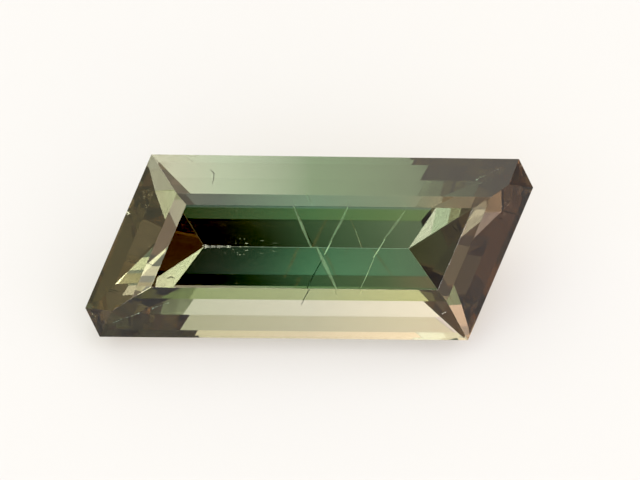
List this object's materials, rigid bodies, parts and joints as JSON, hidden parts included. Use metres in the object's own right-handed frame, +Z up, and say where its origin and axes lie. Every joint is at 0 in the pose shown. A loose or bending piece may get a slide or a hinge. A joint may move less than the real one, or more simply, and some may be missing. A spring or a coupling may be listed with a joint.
{
  "type": "faceted sunstone",
  "caption": "Clear faceted sunstone, a long parallelogram step cut with clipped corners, green in the middle and red-brown at the ends, lying on a pavilion facet.",
  "frame": {"origin": "bottom centre of the stone's box, on the surface that the stone lies on", "axes": "+X along the stone's length, +Z up; the stone lies on a long pavilion facet, so its table faces up and towards -Y"},
  "size_m": [0.017, 0.0056, 0.0055],
  "materials": {
    "clear_feldspar": "polished"
  },
  "bodies": {
    "root": {"sunstone": "clear_feldspar"}
  },
  "joints": []
}
